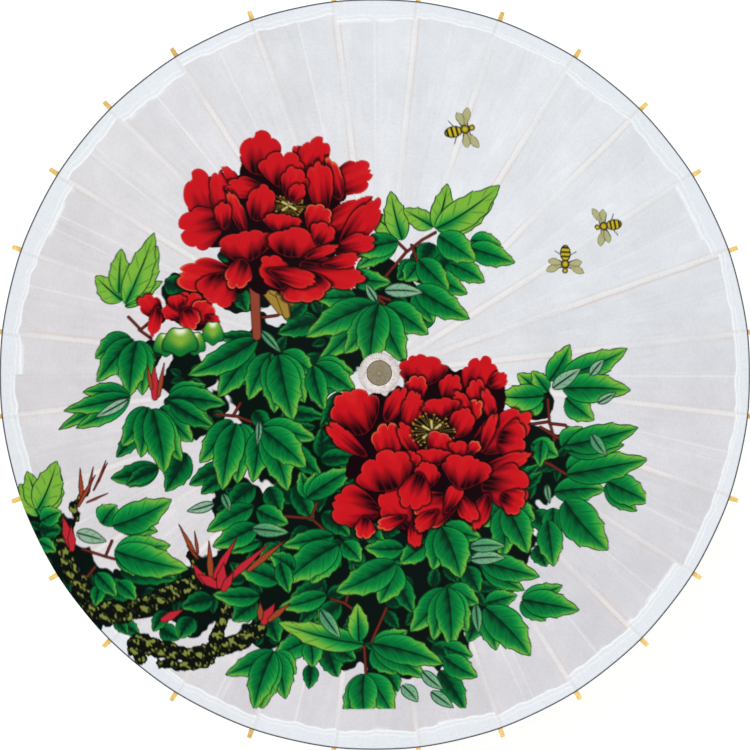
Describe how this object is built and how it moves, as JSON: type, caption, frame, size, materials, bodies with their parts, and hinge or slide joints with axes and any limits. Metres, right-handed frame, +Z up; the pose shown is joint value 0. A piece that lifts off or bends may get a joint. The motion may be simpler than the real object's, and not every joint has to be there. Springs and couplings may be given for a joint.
{
  "type": "oil paper umbrella",
  "caption": "Open oil paper umbrella: painted paper gores on bamboo ribs, slotted wooden head and sliding runner, sprung catch, turned grip.",
  "frame": {"origin": "the middle of the grip's flat end, on the shaft's axis", "axes": "+Z up the shaft to the head; the catch faces -Y; the ribs lie half a step either side of +X"},
  "size_m": [0.8572, 0.8572, 0.575],
  "materials": {
    "oiled_paper": "satin",
    "bamboo": "satin",
    "bamboo_pale": "satin",
    "shaft_wood": "satin",
    "runner_wood": "satin",
    "catch_wood": "satin"
  },
  "bodies": {
    "umbrella": {"shaft": "shaft_wood", "canopy": "oiled_paper"},
    "catch": {"catch": "catch_wood"},
    "long_rib_01": {"long_rib_01": "bamboo"},
    "short_rib_01": {"short_rib_01": "bamboo_pale"},
    "long_rib_02": {"long_rib_02": "bamboo"},
    "short_rib_02": {"short_rib_02": "bamboo_pale"},
    "long_rib_03": {"long_rib_03": "bamboo"},
    "short_rib_03": {"short_rib_03": "bamboo_pale"},
    "long_rib_04": {"long_rib_04": "bamboo"},
    "short_rib_04": {"short_rib_04": "bamboo_pale"},
    "long_rib_05": {"long_rib_05": "bamboo"},
    "short_rib_05": {"short_rib_05": "bamboo_pale"},
    "long_rib_06": {"long_rib_06": "bamboo"},
    "short_rib_06": {"short_rib_06": "bamboo_pale"},
    "long_rib_07": {"long_rib_07": "bamboo"},
    "short_rib_07": {"short_rib_07": "bamboo_pale"},
    "long_rib_08": {"long_rib_08": "bamboo"},
    "short_rib_08": {"short_rib_08": "bamboo_pale"},
    "long_rib_09": {"long_rib_09": "bamboo"},
    "short_rib_09": {"short_rib_09": "bamboo_pale"},
    "long_rib_10": {"long_rib_10": "bamboo"},
    "short_rib_10": {"short_rib_10": "bamboo_pale"},
    "long_rib_11": {"long_rib_11": "bamboo"},
    "short_rib_11": {"short_rib_11": "bamboo_pale"},
    "long_rib_12": {"long_rib_12": "bamboo"},
    "short_rib_12": {"short_rib_12": "bamboo_pale"},
    "long_rib_13": {"long_rib_13": "bamboo"},
    "short_rib_13": {"short_rib_13": "bamboo_pale"},
    "long_rib_14": {"long_rib_14": "bamboo"},
    "short_rib_14": {"short_rib_14": "bamboo_pale"},
    "long_rib_15": {"long_rib_15": "bamboo"},
    "short_rib_15": {"short_rib_15": "bamboo_pale"},
    "long_rib_16": {"long_rib_16": "bamboo"},
    "short_rib_16": {"short_rib_16": "bamboo_pale"},
    "long_rib_17": {"long_rib_17": "bamboo"},
    "short_rib_17": {"short_rib_17": "bamboo_pale"},
    "long_rib_18": {"long_rib_18": "bamboo"},
    "short_rib_18": {"short_rib_18": "bamboo_pale"},
    "long_rib_19": {"long_rib_19": "bamboo"},
    "short_rib_19": {"short_rib_19": "bamboo_pale"},
    "long_rib_20": {"long_rib_20": "bamboo"},
    "short_rib_20": {"short_rib_20": "bamboo_pale"},
    "long_rib_21": {"long_rib_21": "bamboo"},
    "short_rib_21": {"short_rib_21": "bamboo_pale"},
    "long_rib_22": {"long_rib_22": "bamboo"},
    "short_rib_22": {"short_rib_22": "bamboo_pale"},
    "long_rib_23": {"long_rib_23": "bamboo"},
    "short_rib_23": {"short_rib_23": "bamboo_pale"},
    "long_rib_24": {"long_rib_24": "bamboo"},
    "short_rib_24": {"short_rib_24": "bamboo_pale"},
    "long_rib_25": {"long_rib_25": "bamboo"},
    "short_rib_25": {"short_rib_25": "bamboo_pale"},
    "long_rib_26": {"long_rib_26": "bamboo"},
    "short_rib_26": {"short_rib_26": "bamboo_pale"},
    "long_rib_27": {"long_rib_27": "bamboo"},
    "short_rib_27": {"short_rib_27": "bamboo_pale"},
    "long_rib_28": {"long_rib_28": "bamboo"},
    "short_rib_28": {"short_rib_28": "bamboo_pale"},
    "runner": {"runner": "runner_wood"}
  },
  "joints": [
    {"name": "fold", "type": "hinge", "parent": "umbrella", "child": "long_rib_01", "pos_m": [0.0164, 0.00185, 0.562], "axis": [-0.112, 0.9937, 0], "range_deg": [0, 67.5], "deforming": ["canopy", "catch"]},
    {"name": "short_rib_01_hinge", "type": "hinge", "parent": "long_rib_01", "child": "short_rib_01", "pos_m": [0.20782, 0.02342, 0.49189], "axis": [-0.112, 0.9937, 0], "range_deg": [-135, 0]},
    {"name": "long_rib_02_hinge", "type": "hinge", "parent": "umbrella", "child": "long_rib_02", "pos_m": [0.01557, 0.00545, 0.562], "axis": [-0.3303, 0.9439, 0], "range_deg": [0, 67.5]},
    {"name": "short_rib_02_hinge", "type": "hinge", "parent": "long_rib_02", "child": "short_rib_02", "pos_m": [0.1974, 0.06907, 0.49189], "axis": [-0.3303, 0.9439, 0], "range_deg": [-135, 0]},
    {"name": "long_rib_03_hinge", "type": "hinge", "parent": "umbrella", "child": "long_rib_03", "pos_m": [0.01397, 0.00878, 0.562], "axis": [-0.532, 0.8467, 0], "range_deg": [0, 67.5]},
    {"name": "short_rib_03_hinge", "type": "hinge", "parent": "long_rib_03", "child": "short_rib_03", "pos_m": [0.17708, 0.11127, 0.49189], "axis": [-0.532, 0.8467, 0], "range_deg": [-135, 0]},
    {"name": "long_rib_04_hinge", "type": "hinge", "parent": "umbrella", "child": "long_rib_04", "pos_m": [0.01167, 0.01167, 0.562], "axis": [-0.7071, 0.7071, 0], "range_deg": [0, 67.5]},
    {"name": "short_rib_04_hinge", "type": "hinge", "parent": "long_rib_04", "child": "short_rib_04", "pos_m": [0.14788, 0.14788, 0.49189], "axis": [-0.7071, 0.7071, 0], "range_deg": [-135, 0]},
    {"name": "long_rib_05_hinge", "type": "hinge", "parent": "umbrella", "child": "long_rib_05", "pos_m": [0.00878, 0.01397, 0.562], "axis": [-0.8467, 0.532, 0], "range_deg": [0, 67.5]},
    {"name": "short_rib_05_hinge", "type": "hinge", "parent": "long_rib_05", "child": "short_rib_05", "pos_m": [0.11127, 0.17708, 0.49189], "axis": [-0.8467, 0.532, 0], "range_deg": [-135, 0]},
    {"name": "long_rib_06_hinge", "type": "hinge", "parent": "umbrella", "child": "long_rib_06", "pos_m": [0.00545, 0.01557, 0.562], "axis": [-0.9439, 0.3303, 0], "range_deg": [0, 67.5]},
    {"name": "short_rib_06_hinge", "type": "hinge", "parent": "long_rib_06", "child": "short_rib_06", "pos_m": [0.06907, 0.1974, 0.49189], "axis": [-0.9439, 0.3303, 0], "range_deg": [-135, 0]},
    {"name": "long_rib_07_hinge", "type": "hinge", "parent": "umbrella", "child": "long_rib_07", "pos_m": [0.00185, 0.0164, 0.562], "axis": [-0.9937, 0.112, 0], "range_deg": [0, 67.5]},
    {"name": "short_rib_07_hinge", "type": "hinge", "parent": "long_rib_07", "child": "short_rib_07", "pos_m": [0.02342, 0.20782, 0.49189], "axis": [-0.9937, 0.112, 0], "range_deg": [-135, 0]},
    {"name": "long_rib_08_hinge", "type": "hinge", "parent": "umbrella", "child": "long_rib_08", "pos_m": [-0.00185, 0.0164, 0.562], "axis": [-0.9937, -0.112, 0], "range_deg": [0, 67.5]},
    {"name": "short_rib_08_hinge", "type": "hinge", "parent": "long_rib_08", "child": "short_rib_08", "pos_m": [-0.02342, 0.20782, 0.49189], "axis": [-0.9937, -0.112, 0], "range_deg": [-135, 0]},
    {"name": "long_rib_09_hinge", "type": "hinge", "parent": "umbrella", "child": "long_rib_09", "pos_m": [-0.00545, 0.01557, 0.562], "axis": [-0.9439, -0.3303, 0], "range_deg": [0, 67.5]},
    {"name": "short_rib_09_hinge", "type": "hinge", "parent": "long_rib_09", "child": "short_rib_09", "pos_m": [-0.06907, 0.1974, 0.49189], "axis": [-0.9439, -0.3303, 0], "range_deg": [-135, 0]},
    {"name": "long_rib_10_hinge", "type": "hinge", "parent": "umbrella", "child": "long_rib_10", "pos_m": [-0.00878, 0.01397, 0.562], "axis": [-0.8467, -0.532, 0], "range_deg": [0, 67.5]},
    {"name": "short_rib_10_hinge", "type": "hinge", "parent": "long_rib_10", "child": "short_rib_10", "pos_m": [-0.11127, 0.17708, 0.49189], "axis": [-0.8467, -0.532, 0], "range_deg": [-135, 0]},
    {"name": "long_rib_11_hinge", "type": "hinge", "parent": "umbrella", "child": "long_rib_11", "pos_m": [-0.01167, 0.01167, 0.562], "axis": [-0.7071, -0.7071, 0], "range_deg": [0, 67.5]},
    {"name": "short_rib_11_hinge", "type": "hinge", "parent": "long_rib_11", "child": "short_rib_11", "pos_m": [-0.14788, 0.14788, 0.49189], "axis": [-0.7071, -0.7071, 0], "range_deg": [-135, 0]},
    {"name": "long_rib_12_hinge", "type": "hinge", "parent": "umbrella", "child": "long_rib_12", "pos_m": [-0.01397, 0.00878, 0.562], "axis": [-0.532, -0.8467, 0], "range_deg": [0, 67.5]},
    {"name": "short_rib_12_hinge", "type": "hinge", "parent": "long_rib_12", "child": "short_rib_12", "pos_m": [-0.17708, 0.11127, 0.49189], "axis": [-0.532, -0.8467, 0], "range_deg": [-135, 0]},
    {"name": "long_rib_13_hinge", "type": "hinge", "parent": "umbrella", "child": "long_rib_13", "pos_m": [-0.01557, 0.00545, 0.562], "axis": [-0.3303, -0.9439, 0], "range_deg": [0, 67.5]},
    {"name": "short_rib_13_hinge", "type": "hinge", "parent": "long_rib_13", "child": "short_rib_13", "pos_m": [-0.1974, 0.06907, 0.49189], "axis": [-0.3303, -0.9439, 0], "range_deg": [-135, 0]},
    {"name": "long_rib_14_hinge", "type": "hinge", "parent": "umbrella", "child": "long_rib_14", "pos_m": [-0.0164, 0.00185, 0.562], "axis": [-0.112, -0.9937, 0], "range_deg": [0, 67.5]},
    {"name": "short_rib_14_hinge", "type": "hinge", "parent": "long_rib_14", "child": "short_rib_14", "pos_m": [-0.20782, 0.02342, 0.49189], "axis": [-0.112, -0.9937, 0], "range_deg": [-135, 0]},
    {"name": "long_rib_15_hinge", "type": "hinge", "parent": "umbrella", "child": "long_rib_15", "pos_m": [-0.0164, -0.00185, 0.562], "axis": [0.112, -0.9937, 0], "range_deg": [0, 67.5]},
    {"name": "short_rib_15_hinge", "type": "hinge", "parent": "long_rib_15", "child": "short_rib_15", "pos_m": [-0.20782, -0.02342, 0.49189], "axis": [0.112, -0.9937, 0], "range_deg": [-135, 0]},
    {"name": "long_rib_16_hinge", "type": "hinge", "parent": "umbrella", "child": "long_rib_16", "pos_m": [-0.01557, -0.00545, 0.562], "axis": [0.3303, -0.9439, 0], "range_deg": [0, 67.5]},
    {"name": "short_rib_16_hinge", "type": "hinge", "parent": "long_rib_16", "child": "short_rib_16", "pos_m": [-0.1974, -0.06907, 0.49189], "axis": [0.3303, -0.9439, 0], "range_deg": [-135, 0]},
    {"name": "long_rib_17_hinge", "type": "hinge", "parent": "umbrella", "child": "long_rib_17", "pos_m": [-0.01397, -0.00878, 0.562], "axis": [0.532, -0.8467, 0], "range_deg": [0, 67.5]},
    {"name": "short_rib_17_hinge", "type": "hinge", "parent": "long_rib_17", "child": "short_rib_17", "pos_m": [-0.17708, -0.11127, 0.49189], "axis": [0.532, -0.8467, 0], "range_deg": [-135, 0]},
    {"name": "long_rib_18_hinge", "type": "hinge", "parent": "umbrella", "child": "long_rib_18", "pos_m": [-0.01167, -0.01167, 0.562], "axis": [0.7071, -0.7071, 0], "range_deg": [0, 67.5]},
    {"name": "short_rib_18_hinge", "type": "hinge", "parent": "long_rib_18", "child": "short_rib_18", "pos_m": [-0.14788, -0.14788, 0.49189], "axis": [0.7071, -0.7071, 0], "range_deg": [-135, 0]},
    {"name": "long_rib_19_hinge", "type": "hinge", "parent": "umbrella", "child": "long_rib_19", "pos_m": [-0.00878, -0.01397, 0.562], "axis": [0.8467, -0.532, 0], "range_deg": [0, 67.5]},
    {"name": "short_rib_19_hinge", "type": "hinge", "parent": "long_rib_19", "child": "short_rib_19", "pos_m": [-0.11127, -0.17708, 0.49189], "axis": [0.8467, -0.532, 0], "range_deg": [-135, 0]},
    {"name": "long_rib_20_hinge", "type": "hinge", "parent": "umbrella", "child": "long_rib_20", "pos_m": [-0.00545, -0.01557, 0.562], "axis": [0.9439, -0.3303, 0], "range_deg": [0, 67.5]},
    {"name": "short_rib_20_hinge", "type": "hinge", "parent": "long_rib_20", "child": "short_rib_20", "pos_m": [-0.06907, -0.1974, 0.49189], "axis": [0.9439, -0.3303, 0], "range_deg": [-135, 0]},
    {"name": "long_rib_21_hinge", "type": "hinge", "parent": "umbrella", "child": "long_rib_21", "pos_m": [-0.00185, -0.0164, 0.562], "axis": [0.9937, -0.112, 0], "range_deg": [0, 67.5]},
    {"name": "short_rib_21_hinge", "type": "hinge", "parent": "long_rib_21", "child": "short_rib_21", "pos_m": [-0.02342, -0.20782, 0.49189], "axis": [0.9937, -0.112, 0], "range_deg": [-135, 0]},
    {"name": "long_rib_22_hinge", "type": "hinge", "parent": "umbrella", "child": "long_rib_22", "pos_m": [0.00185, -0.0164, 0.562], "axis": [0.9937, 0.112, 0], "range_deg": [0, 67.5]},
    {"name": "short_rib_22_hinge", "type": "hinge", "parent": "long_rib_22", "child": "short_rib_22", "pos_m": [0.02342, -0.20782, 0.49189], "axis": [0.9937, 0.112, 0], "range_deg": [-135, 0]},
    {"name": "long_rib_23_hinge", "type": "hinge", "parent": "umbrella", "child": "long_rib_23", "pos_m": [0.00545, -0.01557, 0.562], "axis": [0.9439, 0.3303, 0], "range_deg": [0, 67.5]},
    {"name": "short_rib_23_hinge", "type": "hinge", "parent": "long_rib_23", "child": "short_rib_23", "pos_m": [0.06907, -0.1974, 0.49189], "axis": [0.9439, 0.3303, 0], "range_deg": [-135, 0]},
    {"name": "long_rib_24_hinge", "type": "hinge", "parent": "umbrella", "child": "long_rib_24", "pos_m": [0.00878, -0.01397, 0.562], "axis": [0.8467, 0.532, 0], "range_deg": [0, 67.5]},
    {"name": "short_rib_24_hinge", "type": "hinge", "parent": "long_rib_24", "child": "short_rib_24", "pos_m": [0.11127, -0.17708, 0.49189], "axis": [0.8467, 0.532, 0], "range_deg": [-135, 0]},
    {"name": "long_rib_25_hinge", "type": "hinge", "parent": "umbrella", "child": "long_rib_25", "pos_m": [0.01167, -0.01167, 0.562], "axis": [0.7071, 0.7071, 0], "range_deg": [0, 67.5]},
    {"name": "short_rib_25_hinge", "type": "hinge", "parent": "long_rib_25", "child": "short_rib_25", "pos_m": [0.14788, -0.14788, 0.49189], "axis": [0.7071, 0.7071, 0], "range_deg": [-135, 0]},
    {"name": "long_rib_26_hinge", "type": "hinge", "parent": "umbrella", "child": "long_rib_26", "pos_m": [0.01397, -0.00878, 0.562], "axis": [0.532, 0.8467, 0], "range_deg": [0, 67.5]},
    {"name": "short_rib_26_hinge", "type": "hinge", "parent": "long_rib_26", "child": "short_rib_26", "pos_m": [0.17708, -0.11127, 0.49189], "axis": [0.532, 0.8467, 0], "range_deg": [-135, 0]},
    {"name": "long_rib_27_hinge", "type": "hinge", "parent": "umbrella", "child": "long_rib_27", "pos_m": [0.01557, -0.00545, 0.562], "axis": [0.3303, 0.9439, 0], "range_deg": [0, 67.5]},
    {"name": "short_rib_27_hinge", "type": "hinge", "parent": "long_rib_27", "child": "short_rib_27", "pos_m": [0.1974, -0.06907, 0.49189], "axis": [0.3303, 0.9439, 0], "range_deg": [-135, 0]},
    {"name": "long_rib_28_hinge", "type": "hinge", "parent": "umbrella", "child": "long_rib_28", "pos_m": [0.0164, -0.00185, 0.562], "axis": [0.112, 0.9937, 0], "range_deg": [0, 67.5]},
    {"name": "short_rib_28_hinge", "type": "hinge", "parent": "long_rib_28", "child": "short_rib_28", "pos_m": [0.20782, -0.02342, 0.49189], "axis": [0.112, 0.9937, 0], "range_deg": [-135, 0]},
    {"name": "runner_hinge", "type": "hinge", "parent": "short_rib_01", "child": "runner", "pos_m": [0.0164, 0.00185, 0.42177], "axis": [-0.112, 0.9937, 0], "range_deg": [0, 67.5]},
    {"name": "catch_press", "type": "hinge", "parent": "umbrella", "child": "catch", "pos_m": [0, -0.004, 0.34227], "axis": [-1, 0, 0], "range_deg": [0, 7.5], "stiffness_Nm_per_rad": 0.5, "springref_deg": -11.46}
  ],
  "couplings": [
    {"joint": "short_rib_01_hinge", "follows": "fold", "ratio": -2},
    {"joint": "long_rib_02_hinge", "follows": "fold", "ratio": 1},
    {"joint": "short_rib_02_hinge", "follows": "fold", "ratio": -2},
    {"joint": "long_rib_03_hinge", "follows": "fold", "ratio": 1},
    {"joint": "short_rib_03_hinge", "follows": "fold", "ratio": -2},
    {"joint": "long_rib_04_hinge", "follows": "fold", "ratio": 1},
    {"joint": "short_rib_04_hinge", "follows": "fold", "ratio": -2},
    {"joint": "long_rib_05_hinge", "follows": "fold", "ratio": 1},
    {"joint": "short_rib_05_hinge", "follows": "fold", "ratio": -2},
    {"joint": "long_rib_06_hinge", "follows": "fold", "ratio": 1},
    {"joint": "short_rib_06_hinge", "follows": "fold", "ratio": -2},
    {"joint": "long_rib_07_hinge", "follows": "fold", "ratio": 1},
    {"joint": "short_rib_07_hinge", "follows": "fold", "ratio": -2},
    {"joint": "long_rib_08_hinge", "follows": "fold", "ratio": 1},
    {"joint": "short_rib_08_hinge", "follows": "fold", "ratio": -2},
    {"joint": "long_rib_09_hinge", "follows": "fold", "ratio": 1},
    {"joint": "short_rib_09_hinge", "follows": "fold", "ratio": -2},
    {"joint": "long_rib_10_hinge", "follows": "fold", "ratio": 1},
    {"joint": "short_rib_10_hinge", "follows": "fold", "ratio": -2},
    {"joint": "long_rib_11_hinge", "follows": "fold", "ratio": 1},
    {"joint": "short_rib_11_hinge", "follows": "fold", "ratio": -2},
    {"joint": "long_rib_12_hinge", "follows": "fold", "ratio": 1},
    {"joint": "short_rib_12_hinge", "follows": "fold", "ratio": -2},
    {"joint": "long_rib_13_hinge", "follows": "fold", "ratio": 1},
    {"joint": "short_rib_13_hinge", "follows": "fold", "ratio": -2},
    {"joint": "long_rib_14_hinge", "follows": "fold", "ratio": 1},
    {"joint": "short_rib_14_hinge", "follows": "fold", "ratio": -2},
    {"joint": "long_rib_15_hinge", "follows": "fold", "ratio": 1},
    {"joint": "short_rib_15_hinge", "follows": "fold", "ratio": -2},
    {"joint": "long_rib_16_hinge", "follows": "fold", "ratio": 1},
    {"joint": "short_rib_16_hinge", "follows": "fold", "ratio": -2},
    {"joint": "long_rib_17_hinge", "follows": "fold", "ratio": 1},
    {"joint": "short_rib_17_hinge", "follows": "fold", "ratio": -2},
    {"joint": "long_rib_18_hinge", "follows": "fold", "ratio": 1},
    {"joint": "short_rib_18_hinge", "follows": "fold", "ratio": -2},
    {"joint": "long_rib_19_hinge", "follows": "fold", "ratio": 1},
    {"joint": "short_rib_19_hinge", "follows": "fold", "ratio": -2},
    {"joint": "long_rib_20_hinge", "follows": "fold", "ratio": 1},
    {"joint": "short_rib_20_hinge", "follows": "fold", "ratio": -2},
    {"joint": "long_rib_21_hinge", "follows": "fold", "ratio": 1},
    {"joint": "short_rib_21_hinge", "follows": "fold", "ratio": -2},
    {"joint": "long_rib_22_hinge", "follows": "fold", "ratio": 1},
    {"joint": "short_rib_22_hinge", "follows": "fold", "ratio": -2},
    {"joint": "long_rib_23_hinge", "follows": "fold", "ratio": 1},
    {"joint": "short_rib_23_hinge", "follows": "fold", "ratio": -2},
    {"joint": "long_rib_24_hinge", "follows": "fold", "ratio": 1},
    {"joint": "short_rib_24_hinge", "follows": "fold", "ratio": -2},
    {"joint": "long_rib_25_hinge", "follows": "fold", "ratio": 1},
    {"joint": "short_rib_25_hinge", "follows": "fold", "ratio": -2},
    {"joint": "long_rib_26_hinge", "follows": "fold", "ratio": 1},
    {"joint": "short_rib_26_hinge", "follows": "fold", "ratio": -2},
    {"joint": "long_rib_27_hinge", "follows": "fold", "ratio": 1},
    {"joint": "short_rib_27_hinge", "follows": "fold", "ratio": -2},
    {"joint": "long_rib_28_hinge", "follows": "fold", "ratio": 1},
    {"joint": "short_rib_28_hinge", "follows": "fold", "ratio": -2},
    {"joint": "runner_hinge", "follows": "fold", "ratio": 1}
  ]
}
